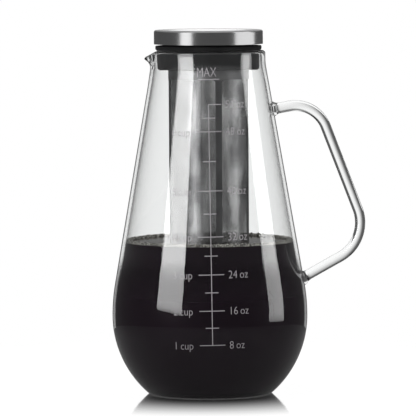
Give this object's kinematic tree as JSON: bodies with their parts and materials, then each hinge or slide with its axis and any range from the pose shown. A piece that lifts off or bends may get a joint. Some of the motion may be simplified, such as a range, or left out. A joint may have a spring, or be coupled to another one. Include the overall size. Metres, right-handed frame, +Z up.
{
  "type": "cold brew coffee maker",
  "caption": "Glass jug with a glass rod handle, a pouring lip and volume marks, half full of coffee, with a steel mesh filter hung in a silicone collar and a steel-capped press-in lid.",
  "frame": {"origin": "centre of the jug's foot, on the surface that it stands on", "axes": "+Z up along the jug's axis, +X towards the handle with the pouring lip along -X, and the volume marks face -Y"},
  "size_m": [0.1621, 0.1248, 0.2324],
  "materials": {
    "glass": "clear blown glass, polished",
    "coffee": "liquid, wet surface",
    "froth": "fine wet bubbles",
    "silicone": "matte moulded silicone",
    "filter_steel": "fine satin",
    "filter_mesh": "fine woven mesh",
    "cap_steel": "turned, fine brushing round the side",
    "black_plastic": "fine moulded texture"
  },
  "bodies": {
    "carafe": {"carafe_glass": "glass", "handle": "glass", "coffee": "coffee", "coffee_froth": "froth"},
    "collar": {"neck_collar": "silicone"},
    "filter": {"filter_frame": "filter_steel", "filter_mesh": "filter_mesh", "filter_base": "filter_steel", "filter_flange": "filter_steel", "coffee_in_filter": "coffee"},
    "lid": {"lid_cap": "cap_steel", "lid_core": "black_plastic", "lid_seal": "silicone"}
  },
  "joints": [
    {"name": "collar_lift", "type": "slide", "parent": "carafe", "child": "collar", "axis": [0, 0, 1], "range_m": [0, 0.03]},
    {"name": "filter_lift", "type": "slide", "parent": "collar", "child": "filter", "axis": [0, 0, 1], "range_m": [0, 0.2]},
    {"name": "lid_lift", "type": "slide", "parent": "filter", "child": "lid", "axis": [0, 0, 1], "range_m": [0, 0.04]}
  ]
}
